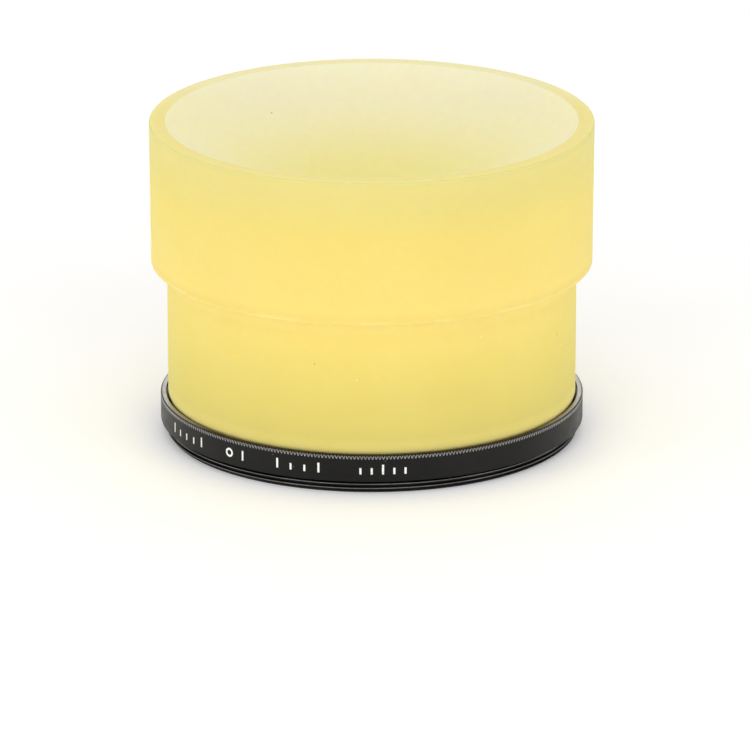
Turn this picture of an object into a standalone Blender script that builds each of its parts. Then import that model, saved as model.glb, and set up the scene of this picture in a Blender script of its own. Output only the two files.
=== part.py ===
"""A stepped, dished hood of cast urethane, seated in the mouth of a 72 mm screw-in filter.

The model stands on the end face of the filter ring's male thread. The optical axis is +Z,
and the hood pulls out of the ring along it. Everything is in metres.
"""

import bpy
from math import asin, cos, pi, radians, sin

# Every turned piece has this many sides.
SIDES = 72
# Pieces that would touch stand this far apart.
GAP = 0.0003
MERGE_DISTANCE = 0.00001

# Filter thread, M72 x 0.75, with its root this far below the crest.
THREAD_MAJOR_RADIUS = 0.0360
THREAD_PITCH = 0.00075
THREAD_DEPTH = 0.00045
THREAD_RELIEF = 0.0002
MALE_TURNS = 3
FEMALE_TURNS = 2
# One ridge of the thread: the share of the pitch where its flank, crest, crest and flank end.
RIDGE_SHARES = (0.0, 0.3, 0.45, 0.75)
# A shallow relief behind the male thread, wider than its ridges.
UNDERCUT_RADIUS = 0.0361
UNDERCUT_DEPTH = 0.00015

# Filter ring.
RING_RADIUS = 0.0370
SHOULDER_Z = 0.0024
LIP_Z = 0.0071
LIP_WIDTH = 0.0008
LIP_CHAMFER = 0.00015
MOUTH_DEPTH = 0.0006
GLASS_LEDGE_Z = 0.0008
LEDGE_INNER_RADIUS = 0.0343
BASE_CHAMFER = 0.0002

# Filter glass, a plain disc that lies on the ledge.
GLASS_RADIUS = 0.03485
GLASS_THICKNESS = 0.0020
GLASS_CHAMFER = 0.00015

# Split spring ring that holds the glass down.
SPRING_RING_WIDTH = 0.00105
SPRING_RING_HEIGHT = 0.0007
SPRING_RING_OUTER_RADIUS = 0.03545
SPRING_RING_SPLIT = 0.003
SPRING_RING_SPLIT_ANGLE = radians(60)
NECK_RADIUS = 0.0351
NECK_HEIGHT = 0.0003

# Hood: a wide front part, a step, and a plug that tapers a little towards the ring.
HOOD_BOTTOM_Z = 0.0052
STEP_Z = 0.03095
HOOD_TOP_Z = 0.0562
FRONT_RADIUS_TOP = 0.0387
FRONT_RADIUS_STEP = 0.0385
PLUG_RADIUS_STEP = 0.03575
PLUG_RADIUS_LIP = 0.03565
NOSE_RADIUS = 0.03525
NOSE_Z = 0.0065
FRONT_DISH_RADIUS = 0.0358
FRONT_DISH_DEPTH = 0.0130
REAR_DISH_RADIUS = 0.0325
REAR_DISH_DEPTH = 0.0120
DISH_EDGE = 0.00025
TOP_EDGE = 0.0005
STEP_EDGE = 0.0003
STEP_FILLET = 0.0004
NOSE_EDGE = 0.0004
# Straight pieces along each dish and each rounded edge.
FRONT_DISH_PIECES = 7
REAR_DISH_PIECES = 6
TOP_EDGE_PIECES = 3
EDGE_PIECES = 2

SHARP_ANGLE = radians(30)

GLASS_BOTTOM_Z = GLASS_LEDGE_Z + GAP
GLASS_TOP_Z = GLASS_BOTTOM_Z + GLASS_THICKNESS
SPRING_RING_Z = GLASS_TOP_Z + GAP
GROOVE_TOP_Z = SPRING_RING_Z + SPRING_RING_HEIGHT + GAP


def clear_scene():
    for old in list(bpy.data.objects):
        bpy.data.objects.remove(old, do_unlink=True)


def new_collection(name):
    collection = bpy.data.collections.new(name)
    bpy.context.scene.collection.children.link(collection)
    return collection


def material(name, colour, roughness, metallic=0.0, transmission=0.0):
    made = bpy.data.materials.new(name)
    made.use_nodes = True
    shader = made.node_tree.nodes["Principled BSDF"]
    shader.inputs["Base Color"].default_value = (*colour, 1.0)
    shader.inputs["Roughness"].default_value = roughness
    shader.inputs["Metallic"].default_value = metallic
    shader.inputs["Transmission Weight"].default_value = transmission
    return made


def axis_empty(name, height):
    empty = bpy.data.objects.new(name, None)
    empty.location = (0.0, 0.0, height)
    empty.empty_display_size = RING_RADIUS
    bpy.context.scene.collection.objects.link(empty)
    return empty


def arc(radius, centre_r, centre_z, start, end, pieces):
    """Points (r, z) of a round stretch, both ends included."""
    angles = [start + (end - start) * i / pieces for i in range(pieces + 1)]
    return [(centre_r + radius * cos(a), centre_z + radius * sin(a)) for a in angles]


def dish(edge_radius, edge_z, depth, pieces):
    """Points of a spherical hollow from the axis out to its edge; a negative depth opens down."""
    sphere = (edge_radius**2 + depth**2) / (2 * abs(depth))
    up = 1 if depth > 0 else -1
    centre_z = edge_z + up * (sphere - abs(depth))
    reach = asin(edge_radius / sphere)
    angles = [reach * i / pieces for i in range(pieces + 1)]
    return [(sphere * sin(a), centre_z - up * sphere * cos(a)) for a in angles]


def thread(start_z, base, peak, turns, up):
    """Level V ridges on a wall of radius base, from start_z along Z; up is 1 or -1."""
    ridge = tuple(zip(RIDGE_SHARES, (base, peak, peak, base)))
    points = []
    for turn in range(turns):
        for share, radius in ridge:
            points.append((radius, start_z + up * THREAD_PITCH * (turn + share)))
    return points


def turned(name, profile, closed, collection):
    """A piece turned from a profile (r, z) that runs down its outer side."""
    count = len(profile)
    edges = [(i, i + 1) for i in range(count - 1)]
    if closed:
        edges.append((count - 1, 0))
    mesh = bpy.data.meshes.new(name)
    mesh.from_pydata([(r, 0.0, z) for r, z in profile], edges, [])
    piece = bpy.data.objects.new(name, mesh)
    collection.objects.link(piece)
    screw = piece.modifiers.new("Turn", "SCREW")
    screw.axis = "Z"
    screw.angle = 2 * pi
    screw.steps = SIDES
    screw.render_steps = SIDES
    screw.use_merge_vertices = True
    screw.merge_threshold = MERGE_DISTANCE
    screw.use_smooth_shade = True
    return piece


def stepped_hood_profile():
    """From the front dish over the rim, down the two walls and in under the plug."""
    front = dish(
        FRONT_DISH_RADIUS,
        HOOD_TOP_Z - DISH_EDGE,
        FRONT_DISH_DEPTH - DISH_EDGE,
        FRONT_DISH_PIECES,
    )
    top_edge = arc(
        TOP_EDGE,
        FRONT_RADIUS_TOP - TOP_EDGE,
        HOOD_TOP_Z - TOP_EDGE,
        pi / 2,
        0,
        TOP_EDGE_PIECES,
    )
    step_edge = arc(
        STEP_EDGE,
        FRONT_RADIUS_STEP - STEP_EDGE,
        STEP_Z + STEP_EDGE,
        0,
        -pi / 2,
        EDGE_PIECES,
    )
    step_fillet = arc(
        STEP_FILLET,
        PLUG_RADIUS_STEP + STEP_FILLET,
        STEP_Z - STEP_FILLET,
        pi / 2,
        pi,
        EDGE_PIECES,
    )
    nose_edge = arc(
        NOSE_EDGE,
        NOSE_RADIUS - NOSE_EDGE,
        HOOD_BOTTOM_Z + NOSE_EDGE,
        0,
        -pi / 2,
        EDGE_PIECES,
    )
    rear = dish(
        REAR_DISH_RADIUS,
        HOOD_BOTTOM_Z + DISH_EDGE,
        DISH_EDGE - REAR_DISH_DEPTH,
        REAR_DISH_PIECES,
    )
    points = front + [(FRONT_DISH_RADIUS + DISH_EDGE, HOOD_TOP_Z)]
    points += top_edge + step_edge + step_fillet
    points += [(PLUG_RADIUS_LIP, LIP_Z), (NOSE_RADIUS, NOSE_Z)]
    points += nose_edge + [(REAR_DISH_RADIUS + DISH_EDGE, HOOD_BOTTOM_Z)]
    points += rear[::-1]
    return points


def filter_ring_profile():
    """From the inner edge of the lip, down the outside, across the base and up through the bore."""
    lip_inner = RING_RADIUS - LIP_CHAMFER - LIP_WIDTH
    minor_radius = THREAD_MAJOR_RADIUS - THREAD_DEPTH
    pocket = GLASS_RADIUS + GAP
    groove = SPRING_RING_OUTER_RADIUS + GAP
    male_start = SHOULDER_Z - THREAD_RELIEF
    neck_top = GROOVE_TOP_Z + NECK_HEIGHT
    female_start = neck_top + NECK_HEIGHT
    points = [
        (lip_inner, LIP_Z),
        (RING_RADIUS - LIP_CHAMFER, LIP_Z),
        (RING_RADIUS, LIP_Z - LIP_CHAMFER),
        (RING_RADIUS, SHOULDER_Z + LIP_CHAMFER),
        (RING_RADIUS - LIP_CHAMFER, SHOULDER_Z),
        (UNDERCUT_RADIUS, SHOULDER_Z),
        (UNDERCUT_RADIUS, SHOULDER_Z + UNDERCUT_DEPTH),
        (minor_radius, SHOULDER_Z + UNDERCUT_DEPTH),
    ]
    points += thread(male_start, minor_radius, THREAD_MAJOR_RADIUS, MALE_TURNS, -1)
    points += [
        (minor_radius, 0.0),
        (LEDGE_INNER_RADIUS + BASE_CHAMFER, 0.0),
        (LEDGE_INNER_RADIUS, BASE_CHAMFER),
        (LEDGE_INNER_RADIUS, GLASS_LEDGE_Z),
        (pocket, GLASS_LEDGE_Z),
        (pocket, GLASS_TOP_Z),
        (groove, GLASS_TOP_Z),
        (groove, GROOVE_TOP_Z),
        (NECK_RADIUS, GROOVE_TOP_Z),
        (NECK_RADIUS, neck_top),
    ]
    points += thread(female_start, minor_radius, THREAD_MAJOR_RADIUS, FEMALE_TURNS, 1)
    points.append((lip_inner, LIP_Z - MOUTH_DEPTH))
    return points


def make_stepped_hood(collection):
    piece = turned("stepped_hood", stepped_hood_profile(), False, collection)
    piece.data.materials.append(material("cast_urethane", (0.94, 0.78, 0.24), 0.45))
    return piece


def make_filter_ring(collection):
    piece = turned("filter_ring", filter_ring_profile(), True, collection)
    piece.data.materials.append(material("black_anodised", (0.02, 0.02, 0.02), 0.38, 0.6))
    return piece


def make_filter_glass(collection):
    bpy.ops.mesh.primitive_cylinder_add(
        vertices=SIDES,
        radius=GLASS_RADIUS,
        depth=GLASS_THICKNESS,
        location=(0.0, 0.0, GLASS_BOTTOM_Z + GLASS_THICKNESS / 2),
    )
    piece = bpy.context.object
    piece.name = "filter_glass"
    piece.data.name = "filter_glass"
    for owner in piece.users_collection:
        owner.objects.unlink(piece)
    collection.objects.link(piece)
    chamfer = piece.modifiers.new("Ground edge", "BEVEL")
    chamfer.width = GLASS_CHAMFER
    chamfer.segments = 1
    chamfer.limit_method = "ANGLE"
    piece.data.shade_smooth()
    piece.data.set_sharp_from_angle(angle=SHARP_ANGLE)
    piece.data.materials.append(material("clear_glass", (0.9, 0.95, 0.93), 0.02, 0.0, 1.0))
    return piece


def make_retaining_ring(collection, cutters):
    """A ring of rectangular section, cut through on one side so that it springs outwards."""
    outer = SPRING_RING_OUTER_RADIUS
    inner = outer - SPRING_RING_WIDTH
    low = SPRING_RING_Z
    high = low + SPRING_RING_HEIGHT
    profile = [(inner, high), (outer, high), (outer, low), (inner, low)]
    piece = turned("retaining_ring", profile, True, collection)
    piece.data.materials.append(material("black_spring", (0.03, 0.03, 0.03), 0.45, 0.6))

    middle = (inner + outer) / 2
    bpy.ops.mesh.primitive_cube_add(
        size=1.0,
        location=(
            middle * cos(SPRING_RING_SPLIT_ANGLE),
            middle * sin(SPRING_RING_SPLIT_ANGLE),
            (low + high) / 2,
        ),
        rotation=(0.0, 0.0, SPRING_RING_SPLIT_ANGLE),
        scale=(3 * SPRING_RING_WIDTH, SPRING_RING_SPLIT, 3 * SPRING_RING_HEIGHT),
    )
    cutter = bpy.context.object
    cutter.name = "split_cutter"
    for owner in cutter.users_collection:
        owner.objects.unlink(cutter)
    cutters.objects.link(cutter)
    cutter.hide_render = True
    cutter.display_type = "WIRE"
    split = piece.modifiers.new("Split", "BOOLEAN")
    split.operation = "DIFFERENCE"
    split.solver = "EXACT"
    split.object = cutter
    return piece


def build():
    clear_scene()
    parts = new_collection("lens_hood")
    cutters = new_collection("cutters")

    filter_axis = axis_empty("filter_axis", 0.0)
    for piece in (
        make_filter_ring(parts),
        make_filter_glass(parts),
        make_retaining_ring(parts, cutters),
    ):
        piece.parent = filter_axis

    pull_axis = axis_empty("pull_axis", LIP_Z)
    hood = make_stepped_hood(parts)
    hood.parent = pull_axis
    hood.location.z = -LIP_Z


build()
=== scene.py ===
from math import asin, atan2, ceil, cos, pi, radians, sin, tan

import bpy
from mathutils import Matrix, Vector, noise


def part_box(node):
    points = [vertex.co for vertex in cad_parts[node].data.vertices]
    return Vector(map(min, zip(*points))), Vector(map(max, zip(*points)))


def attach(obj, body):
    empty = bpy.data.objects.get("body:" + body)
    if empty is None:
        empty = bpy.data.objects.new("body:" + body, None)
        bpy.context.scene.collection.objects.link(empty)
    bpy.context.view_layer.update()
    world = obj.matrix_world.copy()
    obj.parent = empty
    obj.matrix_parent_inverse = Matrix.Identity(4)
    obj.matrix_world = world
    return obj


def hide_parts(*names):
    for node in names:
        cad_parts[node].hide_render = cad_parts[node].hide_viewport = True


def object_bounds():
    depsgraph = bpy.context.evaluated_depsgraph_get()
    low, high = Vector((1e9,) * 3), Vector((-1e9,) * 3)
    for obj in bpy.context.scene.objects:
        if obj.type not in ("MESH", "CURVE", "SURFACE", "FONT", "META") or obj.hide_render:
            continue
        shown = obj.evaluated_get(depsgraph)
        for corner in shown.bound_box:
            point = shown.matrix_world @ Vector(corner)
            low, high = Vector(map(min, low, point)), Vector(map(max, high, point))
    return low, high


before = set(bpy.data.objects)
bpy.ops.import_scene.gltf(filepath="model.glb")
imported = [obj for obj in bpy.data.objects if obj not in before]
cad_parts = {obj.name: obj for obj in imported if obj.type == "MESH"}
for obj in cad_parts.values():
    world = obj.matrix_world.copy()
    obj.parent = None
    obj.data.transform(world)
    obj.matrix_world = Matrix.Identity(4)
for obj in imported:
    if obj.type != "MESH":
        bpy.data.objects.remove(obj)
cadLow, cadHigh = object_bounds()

mm = 0.001
fullTurn = 2 * pi

hoodLow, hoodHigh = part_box("stepped_hood")
ringLow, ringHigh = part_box("filter_ring")
glassLow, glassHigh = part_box("filter_glass")
springLow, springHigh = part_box("retaining_ring")
print("frame loaded:", ", ".join(sorted(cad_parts)))


# outlines and turned meshes

def roundOff(corners, closed, arcPieces=5, mostShare=0.45):
    # corners are (r, z, radius); a radius of 0 keeps the corner sharp
    # an arc takes at most mostShare of the side next to it
    path = []
    count = len(corners)
    for i, (r, z, radius) in enumerate(corners):
        end = not closed and i in (0, count - 1)
        if end or radius <= 0:
            path.append((r, z))
            continue
        here = Vector((r, z))
        back = Vector(corners[i - 1][:2]) - here
        ahead = Vector(corners[(i + 1) % count][:2]) - here
        half = back.angle(ahead) / 2
        reach = min(radius / tan(half), mostShare * back.length, mostShare * ahead.length)
        toMiddle = (back.normalized() + ahead.normalized()).normalized()
        middle = here + toMiddle * (reach / cos(half))
        first = here + back.normalized() * reach - middle
        last = here + ahead.normalized() * reach - middle
        start = atan2(first.y, first.x)
        sweep = (atan2(last.y, last.x) - start + pi) % fullTurn - pi
        for k in range(arcPieces + 1):
            a = start + sweep * k / arcPieces
            path.append((middle.x + first.length * cos(a), middle.y + first.length * sin(a)))
    return path


def holdEdges(path, closed, longest=1.5 * mm, hold=0.1 * mm):
    # divides long runs, with a short piece at each end so that their shading stays flat
    full = []
    count = len(path)
    for i in range(count):
        full.append(path[i])
        if i == count - 1 and not closed:
            break
        a, b = Vector(path[i]), Vector(path[(i + 1) % count])
        length = (b - a).length
        if length < 4 * hold:
            continue
        inner = max(1, ceil((length - 2 * hold) / longest))
        for k in range(inner + 1):
            full.append(tuple(a.lerp(b, (hold + (length - 2 * hold) * k / inner) / length)))
    return full


def sphereDish(edgeRadius, edgeZ, depth, pieces, up):
    # points of a round hollow from the axis out to its edge
    ball = (edgeRadius ** 2 + depth ** 2) / (2 * depth)
    middleZ = edgeZ + up * (ball - depth)
    reach = asin(edgeRadius / ball)
    turns = [reach * i / pieces for i in range(pieces + 1)]
    return [(ball * sin(turn), middleZ - up * ball * cos(turn)) for turn in turns]


def placeMesh(name, verts, faces, material, body, slot, *nodes):
    mesh = bpy.data.meshes.new(name)
    mesh.from_pydata(verts, [], faces)
    mesh.validate()
    mesh.shade_smooth()
    mesh.materials.append(material)
    piece = bpy.data.objects.new(name, mesh)
    bpy.context.scene.collection.objects.link(piece)
    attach(piece, body)
    if nodes:
        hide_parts(*nodes)
    print("made", name, "with", len(faces), "faces")
    return piece


def spinRows(rows, closed):
    # rows are (count, pointAt); neighbouring rows may differ in count by a whole factor
    verts, index, faces = [], [], []
    for count, pointAt in rows:
        if count == 1:
            index.append([len(verts)])
            verts.append(pointAt(0.0))
            continue
        index.append(list(range(len(verts), len(verts) + count)))
        verts += [pointAt(fullTurn * k / count) for k in range(count)]
    for i in range(len(rows) if closed else len(rows) - 1):
        top, low = index[i], index[(i + 1) % len(index)]
        coarse = min(len(top), len(low))
        if coarse == 1:
            fan = max(top, low, key=len)
            for k in range(len(fan)):
                n = (k + 1) % len(fan)
                faces.append((top[0], fan[k], fan[n]) if len(top) == 1 else (low[0], fan[n], fan[k]))
            continue
        for k in range(coarse):
            a, b = len(top) // coarse, len(low) // coarse
            upper = [top[(k * a + j) % len(top)] for j in range(a, -1, -1)]
            lower = [low[(k * b + j) % len(low)] for j in range(b + 1)]
            faces.append(upper + lower)
    return verts, faces


def plainRow(r, z, steps, shape=None):
    if r < 1e-6:
        return 1, lambda angle: (0.0, 0.0, z)

    def pointAt(angle):
        pr, pz = shape(r, z, angle) if shape else (r, z)
        return pr * cos(angle), pr * sin(angle), pz

    return steps, pointAt


# material wiring

def toLinear(code):
    # "#RRGGBB" as the eye sees it, to the shader's own values
    parts = [int(code[i:i + 2], 16) / 255 for i in (1, 3, 5)]
    return (*[c / 12.92 if c <= 0.04045 else ((c + 0.055) / 1.055) ** 2.4 for c in parts], 1.0)


def newMaterial(name):
    material = bpy.data.materials.new(name)
    material.use_nodes = True
    tree = material.node_tree
    return material, tree, tree.nodes["Principled BSDF"]


def addNode(tree, kind, inputs, **settings):
    made = tree.nodes.new("ShaderNode" + kind)
    for key, value in settings.items():
        setattr(made, key, value)
    for key, value in inputs.items():
        if isinstance(value, bpy.types.NodeSocket):
            tree.links.new(value, made.inputs[key])
        else:
            made.inputs[key].default_value = value
    return made


def maths(tree, operation, a, b=0.0):
    return addNode(tree, "Math", {0: a, 1: b}, operation=operation).outputs[0]


def times(tree, first, *others):
    for other in others:
        first = maths(tree, "MULTIPLY", first, other)
    return first


def remap(tree, value, low, high, toLow=0.0, toHigh=1.0, smooth=True):
    kind = "SMOOTHSTEP" if smooth else "LINEAR"
    made = addNode(
        tree, "MapRange",
        {"Value": value, "From Min": low, "From Max": high, "To Min": toLow, "To Max": toHigh},
        interpolation_type=kind,
    )
    return made.outputs["Result"]


def blendColour(tree, share, a, b, kind="MIX"):
    # a and b are sockets or "#RRGGBB" codes
    a, b = [toLinear(c) if isinstance(c, str) else c for c in (a, b)]
    made = addNode(tree, "Mix", {0: share, 6: a, 7: b}, data_type="RGBA", blend_type=kind)
    return made.outputs[2]


def grain(tree, place, size, detail=3.0, roughness=0.5, distortion=0.0):
    settings = {"Scale": 1 / size, "Detail": detail, "Roughness": roughness, "Distortion": distortion}
    return addNode(tree, "TexNoise", {"Vector": place, **settings}).outputs["Fac"]


def colourRamp(tree, factor, stops):
    made = addNode(tree, "ValToRGB", {"Fac": factor})
    band = made.color_ramp
    band.interpolation = "B_SPLINE"
    while len(band.elements) < len(stops):
        band.elements.new(0.5)
    for element, (place, code) in zip(band.elements, stops):
        element.position = place
        element.color = toLinear(code)
    return made.outputs["Color"]


def placeOn(tree):
    # where a point of the piece is: place, x, y, distance from the axis and height
    place = tree.nodes.new("ShaderNodeTexCoord").outputs["Object"]
    split = addNode(tree, "SeparateXYZ", {0: place})
    x, y, height = split.outputs["X"], split.outputs["Y"], split.outputs["Z"]
    flat = addNode(tree, "CombineXYZ", {"X": x, "Y": y}).outputs[0]
    radius = addNode(tree, "VectorMath", {0: flat}, operation="LENGTH").outputs["Value"]
    return {"place": place, "x": x, "y": y, "radius": radius, "height": height}


def turnedLines(tree, at, size):
    # fine lines that run round the axis, as a lathe leaves them
    section = addNode(tree, "CombineXYZ", {"X": at["radius"], "Z": at["height"]}).outputs[0]
    return grain(tree, section, size, 2.0, 0.5)


def unrolled(tree, at, wallRadius):
    # the wall laid out flat: length round it, and height
    turn = maths(tree, "ARCTAN2", at["y"], at["x"])
    return addNode(tree, "CombineXYZ", {"X": times(tree, turn, wallRadius), "Y": at["height"]}).outputs[0]


def specks(tree, sheet, spacing, size, share):
    # a few small dots scattered over a flat sheet: 1 on a dot, 0 elsewhere
    layout = {"Vector": sheet, "Scale": 1 / spacing, "Randomness": 1.0}
    cells = addNode(tree, "TexVoronoi", layout, voronoi_dimensions="2D")
    chosen = addNode(tree, "SeparateColor", {0: cells.outputs["Color"]}).outputs[0]
    dot = remap(tree, cells.outputs["Distance"], size / spacing / 2, size / spacing, 1.0, 0.0)
    return times(tree, dot, maths(tree, "LESS_THAN", chosen, share))


def useBump(tree, shader, skin, strength, depth):
    bump = addNode(tree, "Bump", {"Height": skin, "Strength": strength, "Distance": depth})
    tree.links.new(bump.outputs["Normal"], shader.inputs["Normal"])


# the hood: one casting of frosted, translucent yellow urethane

hood = {
    "steps": 384,
    "stepHeight": 25.75 * mm,      # from the plug's end to the step
    "frontTaper": 0.20 * mm,
    "plugInset": 2.95 * mm,        # how much less radius the plug has than the front, under the step
    "lipInset": 3.00 * mm,         # the same where the plug meets the ring's lip
    "lipHeight": 1.9 * mm,
    "noseInset": 3.45 * mm,        # and on the nose inside the ring
    "noseHeight": 1.3 * mm,
    "rimWidth": 2.9 * mm,
    "dishDepth": 13.0 * mm,
    "frontRows": 56,
    "rearDishRadius": 32.5 * mm,
    "rearDishDepth": 12.0 * mm,
    "rearRows": 44,
    "rimEdge": 0.35 * mm,
    "dishEdge": 0.30 * mm,
    "stepEdge": 0.25 * mm,
    "stepFillet": 0.35 * mm,
    "lipBend": 1.2 * mm,
    "noseBend": 0.8 * mm,
    "noseEdge": 0.40 * mm,
    "waviness": 0.035 * mm,
    "waveLength": 9.0 * mm,
    "nicks": 0.09 * mm,
    "nickLength": 1.1 * mm,
    "nickStart": 0.32,             # more leaves fewer nicks
    "nickBand": (1.2 * mm, 0.5 * mm),
    "rimBand": 0.6 * mm,           # this much of the top dips with the waves
    "wallColours": [               # from the plug's end up to the rim: the casting's yellow, with painted shade darkening it towards the ring
        (0.00, "#CFC26F"), (0.16, "#D4C66F"), (0.36, "#E4D174"), (0.50, "#EBD47F"),
        (0.78, "#E5D075"), (0.90, "#DBCE7E"), (1.00, "#D8CD86"),
    ],
    "bowlColours": [               # from the bottom of the dish up to the rim: painted light, paler than the wall and palest towards the rim
        (0.00, "#FFEC92"), (0.30, "#FFF0AA"), (0.65, "#F8F2BF"), (1.00, "#F3EBBF"),
    ],
    # painted light: the back half of the dish and of the rim is paler
    "bowlBackLight": "#EFEBCD",
    "rimFront": "#F0E192",
    "rimBackLight": "#F3E9B2",
    "backLightFrom": 0.8,               # share of the dish's radius, where the painted back light is full
    "foot": "#FFE88E",             # painted light just above the ring, lifting the shade that the ring casts there
    "footLightShare": 0.45,
    "footLightHeight": 3.0 * mm,
    "browShade": "#F8FAFE",             # painted shade just under the rim, darkening its outer edge
    "browHeight": (1.6 * mm, 0.2 * mm),
    "skirtShade": "#D8BE72",            # painted shade on the front part's lower edge
    "skirtShare": 0.5,
    "skirtHeight": (0.1 * mm, 2.4 * mm),
    "neckLight": "#FFF0A0",             # painted light on the plug under the step, lifting the step's shade
    "neckShare": 0.55,
    "neckHeight": 3.0 * mm,
    "stepHighlight": "#F6E6B0",         # a faint broken painted highlight on the step's edge
    "stepLineShare": 0.16,
    "stepLineWidth": (0.1 * mm, 0.70 * mm),
    "stepLineBreaks": 7.0 * mm,
    "cloud": "#FFF3B0",
    "cloudSize": 14.0 * mm,
    "cloudShare": 0.03,
    "fleck": "#D9B94A",
    "fleckSize": 1.6 * mm,
    "fleckShare": 0.05,
    "bubble": "#FFFBE6",
    "bubbleSpacing": 8.0 * mm,
    "bubbleSize": 0.20 * mm,
    "bubbleCount": 0.08,           # share of the spaces that hold one
    "dust": "#8A7434",
    "dustSpacing": 9.0 * mm,
    "dustSize": 0.22 * mm,
    "dustCount": 0.07,
    "speckShare": 0.5,             # how strongly a bubble or a grain of dust shows
    "frostSize": 0.22 * mm,
    "turnedSize": 0.35 * mm,
    "skinDepth": 0.03 * mm,
    "scatterColour": (1.0, 0.72, 0.24),
    "scatterDepth": 5.0 * mm,
}


def hoodOutline():
    outer, top, bottom = hoodHigh.x, hoodHigh.z, hoodLow.z
    stepZ = bottom + hood["stepHeight"]
    rimInner = outer - hood["rimWidth"]
    rearEdge = hood["rearDishRadius"]
    front = sphereDish(rimInner, top, hood["dishDepth"], hood["frontRows"], 1)[:-1]
    rear = sphereDish(rearEdge, bottom, hood["rearDishDepth"], hood["rearRows"], -1)[:-1]
    wall = holdEdges(roundOff([
        (*front[-1], 0),
        (rimInner, top, hood["dishEdge"]),
        (outer, top, hood["rimEdge"]),
        (outer - hood["frontTaper"], stepZ, hood["stepEdge"]),
        (outer - hood["plugInset"], stepZ, hood["stepFillet"]),
        (outer - hood["lipInset"], bottom + hood["lipHeight"], hood["lipBend"]),
        (outer - hood["noseInset"], bottom + hood["noseHeight"], hood["noseBend"]),
        (outer - hood["noseInset"], bottom, hood["noseEdge"]),
        (rearEdge, bottom, hood["dishEdge"]),
        (*rear[-1], 0),
    ], False), False)
    return front[:-1] + wall + rear[-2::-1]


def castSurface(r, z, angle):
    # slow waves of a hand-poured casting, and small nicks along the rim's outer edge, all inward
    spot = Vector((r * cos(angle), r * sin(angle), z))
    wave = 0.5 + 0.5 * noise.noise(spot / hood["waveLength"])
    inward = hood["waviness"] * wave
    fromTop = hoodHigh.z - z
    nickWidth, nickHeight = hood["nickBand"]
    if fromTop < nickHeight and r > hoodHigh.x - nickWidth:
        chip = noise.noise(spot / hood["nickLength"]) - hood["nickStart"]
        inward += hood["nicks"] * max(0.0, chip) * 2
    drop = hood["waviness"] / 2 * wave if fromTop < hood["rimBand"] else 0.0
    return max(0.0, r - inward), z - drop


def bowlColour(tree, at, back):
    # painted light: the dish is paler than the wall, and pales further up towards the rim
    deep = remap(tree, at["height"], hoodHigh.z - hood["dishDepth"], hoodHigh.z, smooth=False)
    bowl = colourRamp(tree, deep, hood["bowlColours"])
    # painted light at the back of the dish, growing up towards the rim
    return blendColour(tree, times(tree, back, deep), bowl, hood["bowlBackLight"])


def rimMask(tree, at):
    # the flat of the rim, ending partway round its outer edge
    return times(
        tree,
        remap(tree, at["radius"], hoodHigh.x - 0.45 * mm, hoodHigh.x - 0.12 * mm, 1.0, 0.0),
        remap(tree, at["height"], hoodHigh.z - 0.45 * mm, hoodHigh.z - 0.30 * mm),
    )


def wallColour(tree, at, back):
    height, top, bottom = at["height"], hoodHigh.z, hoodLow.z
    stepZ = bottom + hood["stepHeight"]
    # the casting's yellow up the wall, with painted shade at its lower end by the ring
    wall = colourRamp(tree, remap(tree, height, bottom, top, smooth=False), hood["wallColours"])
    # painted light just above the ring, against its shade
    foot = remap(tree, height, ringHigh.z, ringHigh.z + hood["footLightHeight"], hood["footLightShare"], 0.0)
    wall = blendColour(tree, foot, wall, hood["foot"])
    # painted shade just under the rim
    browLow, browHigh = hood["browHeight"]
    browShade = remap(tree, height, top - browLow, top - browHigh)
    wall = blendColour(tree, browShade, wall, hood["browShade"], "MULTIPLY")
    # painted light on the back half of the rim
    rim = blendColour(tree, back, hood["rimFront"], hood["rimBackLight"])
    wall = blendColour(tree, rimMask(tree, at), wall, rim)

    # painted shade on the front part's lower edge over the plug's neck, and painted light on the neck
    # under the step
    overhang = remap(tree, at["radius"], hoodHigh.x - 2.2 * mm, hoodHigh.x - 1.2 * mm)
    skirtLow, skirtHigh = hood["skirtHeight"]
    skirtShade = times(tree, overhang, remap(tree, height, stepZ + skirtLow, stepZ + skirtHigh, 1.0, 0.0))
    wall = blendColour(tree, times(tree, skirtShade, hood["skirtShare"]), wall, hood["skirtShade"])
    # painted light on the plug just under the step
    neckLight = times(
        tree,
        maths(tree, "SUBTRACT", 1.0, overhang),
        remap(tree, height, stepZ - hood["neckHeight"], stepZ, smooth=False),
        remap(tree, height, stepZ + 0.1 * mm, stepZ + 0.3 * mm, hood["neckShare"], 0.0),
    )
    wall = blendColour(tree, neckLight, wall, hood["neckLight"])

    # a faint broken painted highlight along the step's edge
    offStep = maths(tree, "ABSOLUTE", maths(tree, "SUBTRACT", height, stepZ + 0.2 * mm))
    line = times(tree, remap(tree, offStep, *hood["stepLineWidth"], 1.0, 0.0), overhang)
    breaks = grain(tree, at["place"], hood["stepLineBreaks"], 2.0)
    line = times(tree, line, remap(tree, breaks, 0.42, 0.58, 0.0, hood["stepLineShare"]))
    return blendColour(tree, line, wall, hood["stepHighlight"])


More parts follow.
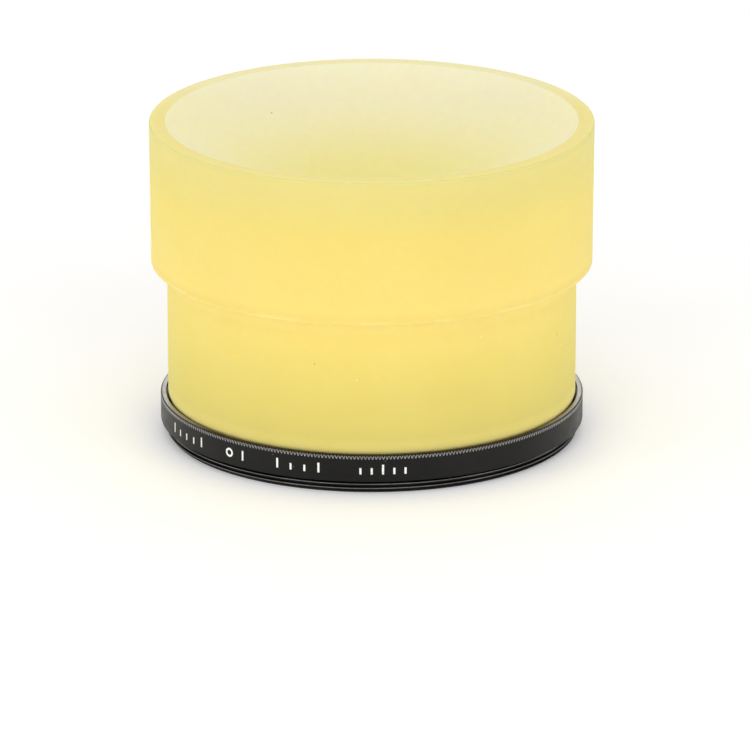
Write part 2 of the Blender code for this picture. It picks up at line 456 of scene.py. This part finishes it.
def urethaneMaterial():
    material, tree, shader = newMaterial("castUrethane")
    at = placeOn(tree)
    place = at["place"]
    rimInner = hoodHigh.x - hood["rimWidth"]
    dishZ = hoodHigh.z - hood["dishDepth"]

    # the wall is deepest in colour; painted light makes the dish paler, and the dish and rim paler still
    # at the back
    back = remap(tree, at["y"], 0.0, hood["backLightFrom"] * rimInner)
    inDish = times(
        tree,
        remap(tree, at["radius"], rimInner - 0.1 * mm, rimInner + 0.25 * mm, 1.0, 0.0),
        remap(tree, at["height"], dishZ - 2 * mm, dishZ - 1 * mm),
    )
    colour = blendColour(tree, inDish, wallColour(tree, at, back), bowlColour(tree, at, back))

    # faint clouds in the pour, and flecks of its dye
    clouds = grain(tree, place, hood["cloudSize"], 2.0, 0.5, 0.3)
    clouds = remap(tree, clouds, 0.35, 0.65, 0.0, hood["cloudShare"])
    colour = blendColour(tree, clouds, colour, hood["cloud"])
    flecks = grain(tree, place, hood["fleckSize"], 4.0, 0.6)
    flecks = remap(tree, flecks, 0.3, 0.7, 0.0, hood["fleckShare"])
    colour = blendColour(tree, flecks, colour, hood["fleck"])

    # a few trapped bubbles and grains of dust
    wallSheet = unrolled(tree, at, hoodHigh.x)
    sheet = addNode(tree, "Mix", {0: inDish, 4: wallSheet, 5: place}, data_type="VECTOR").outputs[1]
    bubbles = specks(tree, sheet, hood["bubbleSpacing"], hood["bubbleSize"], hood["bubbleCount"])
    dust = specks(tree, sheet, hood["dustSpacing"], hood["dustSize"], hood["dustCount"])
    colour = blendColour(tree, times(tree, bubbles, hood["speckShare"]), colour, hood["bubble"])
    colour = blendColour(tree, times(tree, dust, hood["speckShare"]), colour, hood["dust"])
    tree.links.new(colour, shader.inputs["Base Color"])

    # frosted skin: fine grain, and the fine lines that the turned mould left round the walls
    frost = grain(tree, place, hood["frostSize"], 3.0, 0.65)
    lines = turnedLines(tree, at, hood["turnedSize"])
    skin = maths(tree, "ADD", times(tree, frost, 0.6), times(tree, lines, 0.4))
    skin = maths(tree, "SUBTRACT", skin, times(tree, bubbles, 0.8))
    skin = maths(tree, "ADD", skin, times(tree, dust, 0.8))
    useBump(tree, shader, skin, 0.25, hood["skinDepth"])
    tree.links.new(remap(tree, frost, 0.25, 0.75, 0.50, 0.66), shader.inputs["Roughness"])

    shader.inputs["IOR"].default_value = 1.48
    shader.inputs["Specular IOR Level"].default_value = 0.01
    shader.inputs["Subsurface Weight"].default_value = 0.6
    shader.inputs["Subsurface Radius"].default_value = hood["scatterColour"]
    shader.inputs["Subsurface Scale"].default_value = hood["scatterDepth"]
    return material


def makeHood():
    rows = [plainRow(r, z, hood["steps"], castSurface) for r, z in hoodOutline()]
    verts, faces = spinRows(rows, False)
    placeMesh("hoodCasting", verts, faces, urethaneMaterial(), "hood", "cast_urethane", "stepped_hood")


# the filter's ring: black anodised aluminium, knurled lip, fine threads

ring = {
    "steps": 375,
    "notchDepth": 0.24 * mm,       # one V notch a step, deepest at the lip, running out down the wall
    "notchShare": 0.84,            # how much of each step the notch takes at the lip
    "notchHeight": 0.72 * mm,
    "lipWidth": 0.95 * mm,
    "lipChamfer": 0.15 * mm,
    "mouthDepth": 0.60 * mm,
    "shoulderZ": 2.40 * mm,
    "shoulderEdge": 0.12 * mm,
    "footEdge": 0.15 * mm,
    "softEdge": 0.05 * mm,
    "fineEdge": 0.03 * mm,
    "threadMajor": 36.0 * mm,
    "threadDepth": 0.45 * mm,
    "pitch": 0.75 * mm,
    "rowsPerPitch": 14,
    "ridgeShares": (0.30, 0.45, 0.75),    # of the pitch, where a ridge's top starts and ends, and its foot
    "fadeLength": 0.25 * mm,       # over which a thread runs out at each end
    "relief": 0.20 * mm,
    "undercut": 0.15 * mm,
    "boreRadius": 34.3 * mm,
    "ledgeZ": 0.80 * mm,
    "gap": 0.30 * mm,
    "neckRadius": 35.1 * mm,
    "neckHeight": 0.30 * mm,
    "sharpAngle": radians(32),
    "darkDye": "#050506",
    "paleDye": "#090909",
    "dyePatch": 3.5 * mm,
    # grey metal, used for wear and for the painted highlights and reflection
    "bareMetalAndSheen": "#BDBAB6",
    "edgeWearAndHighlight": 0.8,
    "crestWear": 0.5,
    "lipReflectionShare": 0.8,
    "wearGrain": 0.25 * mm,
    "lint": "#9A9A96",
    "lintShare": 0.4,
    "lintSpacing": 4.0 * mm,
    "lintSize": 0.11 * mm,
    "lintCount": 0.12,
    "turnedSize": 0.06 * mm,
    "etchedSize": 0.08 * mm,
    "skinDepth": 0.01 * mm,
}


def ridge(share):
    # height of a thread's V ridge, from 0 to 1, at a share of its pitch
    topStart, topEnd, foot = ring["ridgeShares"]
    if share < topStart:
        return share / topStart
    if share < topEnd:
        return 1.0
    return max(0.0, (foot - share) / (foot - topEnd))


def threadRows(fromZ, toZ):
    # a right-hand thread
    count = ceil(abs(toZ - fromZ) / ring["pitch"] * ring["rowsPerPitch"])
    low, high = min(fromZ, toZ), max(fromZ, toZ)
    base = ring["threadMajor"] - ring["threadDepth"]

    def shape(r, z, angle):
        fade = min(1.0, (z - low) / ring["fadeLength"], (high - z) / ring["fadeLength"])
        rise = ridge((z / ring["pitch"] - angle / fullTurn) % 1.0)
        return base + ring["threadDepth"] * rise * max(0.0, fade), z

    heights = [fromZ + (toZ - fromZ) * k / count for k in range(count + 1)]
    return [plainRow(base, z, ring["steps"], shape) for z in heights]


def notchRow(radius, z):
    # four points a step: middle of the land, edge of the notch, its bottom, its other edge
    count = ring["steps"] * 4
    share = 1 - (ringHigh.z - z) / ring["notchHeight"]
    half = share * ring["notchShare"] / 2
    places = (0.0, 0.5 - half, 0.5, 0.5 + half)

    def pointAt(angle):
        whole, k = divmod(round(angle / fullTurn * count), 4)
        a = (whole + places[k]) / ring["steps"] * fullTurn
        r = radius - (share * ring["notchDepth"] if k == 2 else 0.0)
        return r * cos(a), r * sin(a), z

    return count, pointAt


def ringRows():
    outer, top = ringHigh.x, ringHigh.z
    lipInner = outer - ring["lipWidth"]
    chamfer, soft, fine = ring["lipChamfer"], ring["softEdge"], ring["fineEdge"]
    major = ring["threadMajor"]
    minor = major - ring["threadDepth"]
    notchEnd = top - ring["notchHeight"]
    shoulder = ring["shoulderZ"]

    def plain(corners):
        path = holdEdges(roundOff(corners, False, 3), False, 2 * mm, 0.05 * mm)
        return [plainRow(r, z, ring["steps"]) for r, z in path]

    # the lip, its notches and the wall down to the male thread
    rows = plain([
        (lipInner, top - ring["mouthDepth"], 0),
        (lipInner, top, soft),
        (lipInner + 0.12 * mm, top, 0),
    ])
    rows += [notchRow(outer - chamfer, top), notchRow(outer, top - chamfer)]
    rows += [notchRow(outer, top - ring["notchHeight"] * k / 4) for k in (2, 3)]
    rows.append(notchRow(outer, notchEnd + 0.03 * mm))
    rows += plain([
        (outer, notchEnd, 0),
        (outer, shoulder, ring["shoulderEdge"]),
        (major + 0.1 * mm, shoulder, fine),
        (major + 0.1 * mm, shoulder + ring["undercut"], fine),
        (minor, shoulder + ring["undercut"], fine),
        (minor, shoulder - ring["relief"] + 0.02 * mm, 0),
    ])
    rows += threadRows(shoulder - ring["relief"], 0.12 * mm)

    # the bore: the glass's pocket, the spring's groove, and up to the female thread
    pocket = glassHigh.x + ring["gap"]
    groove = springHigh.x + ring["gap"]
    grooveTop = springHigh.z + ring["gap"]
    neckTop = grooveTop + ring["neckHeight"]
    rows += plain([
        (minor - 0.05 * mm, 0.05 * mm, 0),
        (minor - 0.10 * mm, 0.0, fine),
        (ring["boreRadius"], 0.0, ring["footEdge"]),
        (ring["boreRadius"], ring["ledgeZ"], soft),
        (pocket, ring["ledgeZ"], soft),
        (pocket, glassHigh.z, soft),
        (groove, glassHigh.z, soft),
        (groove, grooveTop, soft),
        (ring["neckRadius"], grooveTop, soft),
        (ring["neckRadius"], neckTop, soft),
        (minor, neckTop + ring["neckHeight"] - 0.02 * mm, 0),
    ])
    rows += threadRows(neckTop + ring["neckHeight"], top - ring["mouthDepth"] - 0.1 * mm)
    return rows


def notchEdges(tree, at):
    # 1 along both edges of every notch
    notchEnd = ringHigh.z - ring["notchHeight"]
    turn = maths(tree, "ARCTAN2", at["y"], at["x"])
    share = maths(tree, "FRACT", times(tree, turn, ring["steps"] / fullTurn))
    fromMiddle = maths(tree, "ABSOLUTE", maths(tree, "SUBTRACT", share, 0.5))
    opening = remap(tree, at["height"], notchEnd, ringHigh.z, 0.0, ring["notchShare"] / 2, False)
    offEdge = maths(tree, "ABSOLUTE", maths(tree, "SUBTRACT", fromMiddle, opening))
    return times(
        tree,
        remap(tree, offEdge, 0.03, 0.15, 1.0, 0.0),
        remap(tree, at["height"], notchEnd, notchEnd + 0.06 * mm),
        remap(tree, at["height"], ringHigh.z - 0.16 * mm, ringHigh.z - 0.10 * mm, 1.0, 0.0),
        remap(tree, at["radius"], ringHigh.x - 0.5 * mm, ringHigh.x - 0.4 * mm),
    )


def wearAndSheenMask(tree, at):
    # grey metal: worn on the male thread's crests, worn with a painted highlight on the notches' edges,
    # and a painted reflection along the lip's top at its left and right
    crests = times(
        tree,
        remap(tree, at["radius"], ring["threadMajor"] - 0.06 * mm, ring["threadMajor"]),
        remap(tree, at["height"], ring["shoulderZ"] - 0.1 * mm, ring["shoulderZ"], 1.0, 0.0),
    )
    # painted reflection along the top of the lip at its left and right
    lipReflection = times(
        tree,
        remap(tree, at["height"], ringHigh.z - 0.04 * mm, ringHigh.z - 0.01 * mm),
        remap(tree, maths(tree, "ABSOLUTE", at["x"]), 0.72 * ringHigh.x, 0.95 * ringHigh.x),
    )
    # the notches' edges: worn metal and a painted highlight
    edges = times(tree, notchEdges(tree, at), ring["edgeWearAndHighlight"])
    wornAndSheen = maths(tree, "MAXIMUM", edges, times(tree, crests, ring["crestWear"]))
    wornAndSheen = maths(tree, "MAXIMUM", wornAndSheen, times(tree, lipReflection, ring["lipReflectionShare"]))
    patches = grain(tree, at["place"], ring["wearGrain"], 4.0, 0.7)
    return times(tree, wornAndSheen, remap(tree, patches, 0.3, 0.6, 0.55, 1.0))


def anodisedMaterial():
    material, tree, shader = newMaterial("blackAnodised")
    at = placeOn(tree)
    dye = grain(tree, at["place"], ring["dyePatch"], 3.0, 0.6)
    colour = blendColour(tree, dye, ring["darkDye"], ring["paleDye"])
    # grey metal where worn, with painted highlights on the notch edges and a painted reflection on the
    # lip's sides
    wornAndSheen = wearAndSheenMask(tree, at)
    colour = blendColour(tree, wornAndSheen, colour, ring["bareMetalAndSheen"])

    # a few specks of lint on the wall
    sheet = unrolled(tree, at, ringHigh.x)
    lint = specks(tree, sheet, ring["lintSpacing"], ring["lintSize"], ring["lintCount"])
    colour = blendColour(tree, times(tree, lint, ring["lintShare"]), colour, ring["lint"])
    tree.links.new(colour, shader.inputs["Base Color"])
    tree.links.new(remap(tree, dye, 0.3, 0.7, 0.36, 0.44), shader.inputs["Roughness"])
    tree.links.new(times(tree, wornAndSheen, 0.8), shader.inputs["Metallic"])

    # fine turning lines round the ring under a matt-etched skin
    turned = turnedLines(tree, at, ring["turnedSize"])
    etched = grain(tree, at["place"], ring["etchedSize"], 2.0, 0.6)
    skin = maths(tree, "ADD", times(tree, turned, 0.5), times(tree, etched, 0.5))
    useBump(tree, shader, maths(tree, "ADD", skin, lint), 0.25, ring["skinDepth"])
    shader.inputs["IOR"].default_value = 1.5
    shader.inputs["Specular IOR Level"].default_value = 0.22
    return material


def makeRing():
    verts, faces = spinRows(ringRows(), True)
    black = anodisedMaterial()
    piece = placeMesh("knurledRing", verts, faces, black, "filter", "black_anodised", "filter_ring")
    piece.data.set_sharp_from_angle(angle=ring["sharpAngle"])


# plain white index marks round the ring, in four groups

marks = {
    "height": 1.75 * mm,
    "middleZ": 4.60 * mm,
    "stroke": 0.36 * mm,
    "shortShare": 0.66,
    "loopShare": 0.72,             # the small loop's size against a tall mark
    "loopPoints": 28,
    "proud": 0.012 * mm,
    "sunk": 0.05 * mm,
    "palePaint": "#F1F1EC",
    "wornPaint": "#C9C9C2",
    "paintPatch": 0.4 * mm,
    "skinDepth": 0.01 * mm,
    "sharpAngle": radians(40),
    "groups": [                    # each group: first angle, step between marks, and one sign a mark
        (-67.5, 3.7, "IiiiI"),
        (-41.5, 4.6, "oI"),
        (-26.0, 3.9, "IiiI"),
        (-3.0, 3.0, "iiIii"),
    ],
}


def strokeShape(points, width, closed):
    # a painted line on the ring's wall, as a thin closed solid; points are (round the wall, up)
    outer = ringHigh.x
    radii = (outer + marks["proud"], outer - marks["sunk"])
    count = len(points)
    verts, faces = [], []
    for i in range(count):
        back = Vector(points[i - 1] if closed or i else points[0])
        ahead = Vector(points[(i + 1) % count] if closed or i < count - 1 else points[-1])
        along = (ahead - back).normalized()
        side = Vector((-along.y, along.x)) * width / 2
        for radius in radii:
            for sign in (1, -1):
                u, z = Vector(points[i]) + side * sign
                angle = u / outer - pi / 2
                verts.append((radius * cos(angle), radius * sin(angle), z))
    for i in range(count if closed else count - 1):
        a, b = 4 * i, 4 * ((i + 1) % count)
        faces += [(a, a + 1, b + 1, b), (a + 1, a + 3, b + 3, b + 1)]
        faces += [(a + 3, a + 2, b + 2, b + 3), (a + 2, a, b, b + 2)]
    if not closed:
        e = 4 * (count - 1)
        faces += [(0, 2, 3, 1), (e, e + 1, e + 3, e + 2)]
    return verts, faces


def markShape(sign, angle):
    u = radians(angle) * ringHigh.x
    middle, half = marks["middleZ"], marks["height"] / 2
    if sign == "o":
        r = half * marks["loopShare"]
        turns = [fullTurn * k / marks["loopPoints"] for k in range(marks["loopPoints"])]
        loop = [(u + r * cos(turn), middle + r * sin(turn)) for turn in turns]
        return strokeShape(loop, marks["stroke"], True)
    low = middle - half
    high = low + marks["height"] * (1 if sign == "I" else marks["shortShare"])
    return strokeShape([(u, low), (u, (low + high) / 2), (u, high)], marks["stroke"], False)


def paintMaterial():
    material, tree, shader = newMaterial("whiteFill")
    patchy = grain(tree, placeOn(tree)["place"], marks["paintPatch"], 3.0, 0.6)
    colour = blendColour(tree, remap(tree, patchy, 0.45, 0.75), marks["palePaint"], marks["wornPaint"])
    tree.links.new(colour, shader.inputs["Base Color"])
    tree.links.new(remap(tree, patchy, 0.3, 0.7, 0.45, 0.6), shader.inputs["Roughness"])
    useBump(tree, shader, patchy, 0.2, marks["skinDepth"])
    return material


def makeMarks():
    verts, faces = [], []
    for first, apart, signs in marks["groups"]:
        for k, sign in enumerate(signs):
            newVerts, newFaces = markShape(sign, first + apart * k)
            faces += [[len(verts) + c for c in face] for face in newFaces]
            verts += newVerts
    piece = placeMesh("ringMarks", verts, faces, paintMaterial(), "filter", "black_anodised")
    piece.data.set_sharp_from_angle(angle=marks["sharpAngle"])


# the filter's glass and the split spring ring over it

glass = {
    "steps": 240,
    "edge": 0.15 * mm,
    "sharpAngle": radians(20),
    "clear": "#F4FAF7",
    "ground": "#B9C4BF",           # the pane's edge is ground
    "smearSize": 9.0 * mm,
    "coatingThickness": 420.0,     # nanometres
    "alpha": 0.4,                  # lets the light through to the floor
}


def glassMaterial():
    material, tree, shader = newMaterial("coatedGlass")
    at = placeOn(tree)
    smear = grain(tree, at["place"], glass["smearSize"], 3.0, 0.6, 1.2)
    ground = remap(tree, at["radius"], glassHigh.x - 0.2 * mm, glassHigh.x - 0.1 * mm)
    tree.links.new(blendColour(tree, ground, glass["clear"], glass["ground"]), shader.inputs["Base Color"])
    smeared = remap(tree, smear, 0.5, 0.75, 0.0, 0.04)
    tree.links.new(maths(tree, "ADD", smeared, times(tree, ground, 0.5)), shader.inputs["Roughness"])
    shader.inputs["Transmission Weight"].default_value = 1.0
    shader.inputs["Alpha"].default_value = glass["alpha"]
    shader.inputs["IOR"].default_value = 1.52
    shader.inputs["Thin Film Thickness"].default_value = glass["coatingThickness"]
    shader.inputs["Thin Film IOR"].default_value = 1.38
    return material


def makeGlass():
    r, low, high = glassHigh.x, glassLow.z, glassHigh.z
    corners = [(0, high, 0), (r, high, glass["edge"]), (r, low, glass["edge"]), (0, low, 0)]
    path = holdEdges(roundOff(corners, False, 2), False, 4 * mm)
    verts, faces = spinRows([plainRow(pr, pz, glass["steps"]) for pr, pz in path], False)
    piece = placeMesh("filterPane", verts, faces, glassMaterial(), "filter", "clear_glass", "filter_glass")
    piece.data.set_sharp_from_angle(angle=glass["sharpAngle"])


spring = {
    "width": 1.05 * mm,
    "splitAngle": radians(60),
    "split": 3.0 * mm,
    "edge": 0.12 * mm,
    "steps": 300,
    "sharpAngle": radians(50),
    "darkSteel": "#1C1C1D",
    "paleSteel": "#343436",
    "patchSize": 0.6 * mm,
    "drawnSize": 0.05 * mm,
    "skinDepth": 0.01 * mm,
}


def springMaterial():
    material, tree, shader = newMaterial("blackSpring")
    at = placeOn(tree)
    patches = grain(tree, at["place"], spring["patchSize"], 4.0, 0.65)
    colour = blendColour(tree, remap(tree, patches, 0.3, 0.7), spring["darkSteel"], spring["paleSteel"])
    tree.links.new(colour, shader.inputs["Base Color"])
    tree.links.new(remap(tree, patches, 0.3, 0.7, 0.32, 0.5), shader.inputs["Roughness"])
    useBump(tree, shader, turnedLines(tree, at, spring["drawnSize"]), 0.3, spring["skinDepth"])
    shader.inputs["Metallic"].default_value = 0.7
    return material


def makeSpring():
    outer, low, high = springHigh.x, springLow.z, springHigh.z
    inner = outer - spring["width"]
    e = spring["edge"]
    section = roundOff([(inner, high, e), (outer, high, e), (outer, low, e), (inner, low, e)], True, 3)
    halfGap = asin(spring["split"] / 2 / outer)
    start = spring["splitAngle"] + halfGap
    sweep = fullTurn - 2 * halfGap
    verts, faces = [], []
    count, steps = len(section), spring["steps"]
    for k in range(steps + 1):
        a = start + sweep * k / steps
        verts += [(r * cos(a), r * sin(a), z) for r, z in section]
    for k in range(steps):
        for j in range(count):
            n = (j + 1) % count
            faces.append((k * count + j, k * count + n, (k + 1) * count + n, (k + 1) * count + j))
    faces.append(list(reversed(range(count))))
    faces.append([steps * count + j for j in range(count)])
    steel = springMaterial()
    piece = placeMesh("springRing", verts, faces, steel, "filter", "black_spring", "retaining_ring")
    piece.data.set_sharp_from_angle(angle=spring["sharpAngle"])


# floor, light and camera

studio = {
    "floorSize": 6.0,
    "floorDrop": 0.02 * mm,
    "floorGlow": 0.12,
    "sheetDark": "#FCFCFC",
    "sheetPale": "#FFFFFF",
    "sheetPatch": 1 / 18,
    "cameraDistance": 1391 * mm,
    "cameraPitch": radians(18.19),
    "aimHeight": 9.5 * mm,
    "aimRight": 0.56 * mm,
    "lens": 380.8,
    "worldLight": 0.74,
    "lamps": [                     # name, round from the front, up, distance, width, height, watts
        ("frontBox", 0, 38, 0.90, 0.80, 0.50, 1.76),
        ("leftBox", -60, 3, 0.80, 0.26, 0.34, 1.8),
        ("rightBox", 48, 3, 0.80, 0.26, 0.34, 1.6),
        ("backBox", 180, 18, 1.00, 0.60, 0.30, 1.1),
    ],
}


def makeFloor():
    s = studio["floorSize"] / 2
    mesh = bpy.data.meshes.new("floor")
    mesh.from_pydata([(-s, -s, 0), (s, -s, 0), (s, s, 0), (-s, s, 0)], [], [(0, 1, 2, 3)])
    floor = bpy.data.objects.new("floor", mesh)
    bpy.context.scene.collection.objects.link(floor)
    floor.location.z = cadLow.z - studio["floorDrop"]
    material, tree, shader = newMaterial("paleSheet")
    tone = grain(tree, placeOn(tree)["place"], studio["sheetPatch"], 2.0, 0.5)
    colour = blendColour(tree, tone, studio["sheetDark"], studio["sheetPale"])
    tree.links.new(colour, shader.inputs["Base Color"])
    shader.inputs["Roughness"].default_value = 0.9
    shader.inputs["Specular IOR Level"].default_value = 0.1
    shader.inputs["Emission Color"].default_value = (1, 1, 1, 1)
    shader.inputs["Emission Strength"].default_value = studio["floorGlow"]
    mesh.materials.append(material)


def directionFrom(azimuth, elevation):
    a, e = radians(azimuth), radians(elevation)
    return Vector((sin(a) * cos(e), -cos(a) * cos(e), sin(e)))


def makeLights():
    world = bpy.data.worlds.new("softWorld")
    bpy.context.scene.world = world
    world.use_nodes = True
    sky = world.node_tree.nodes["Background"]
    sky.inputs["Color"].default_value = (1, 1, 1, 1)
    sky.inputs["Strength"].default_value = studio["worldLight"]
    middle = Vector((0, 0, (cadLow.z + cadHigh.z) / 2))
    for name, around, up, far, width, height, watts in studio["lamps"]:
        data = bpy.data.lights.new(name, "AREA")
        data.shape = "RECTANGLE"
        data.size = width
        data.size_y = height
        data.energy = watts
        lamp = bpy.data.objects.new(name, data)
        bpy.context.scene.collection.objects.link(lamp)
        back = directionFrom(around, up)
        lamp.location = middle + back * far
        lamp.rotation_mode = "QUATERNION"
        lamp.rotation_quaternion = (-back).to_track_quat("-Z", "Y")


def makeCamera():
    pitch, far = studio["cameraPitch"], studio["cameraDistance"]
    camera = bpy.data.objects.new("camera", bpy.data.cameras.new("camera"))
    bpy.context.scene.collection.objects.link(camera)
    camera.location = (studio["aimRight"], -far * cos(pitch), studio["aimHeight"] + far * sin(pitch))
    camera.rotation_euler = (pi / 2 - pitch, 0, 0)
    camera.data.lens = studio["lens"]
    camera.data.sensor_width = 36
    camera.data.clip_start = 0.05
    camera.data.clip_end = 50
    bpy.context.scene.camera = camera
    bpy.context.scene.view_settings.view_transform = "Standard"


makeCamera()
makeHood()
makeRing()
makeMarks()
makeGlass()
makeSpring()
makeFloor()
makeLights()
print("pieces, floor, lights and camera are in")
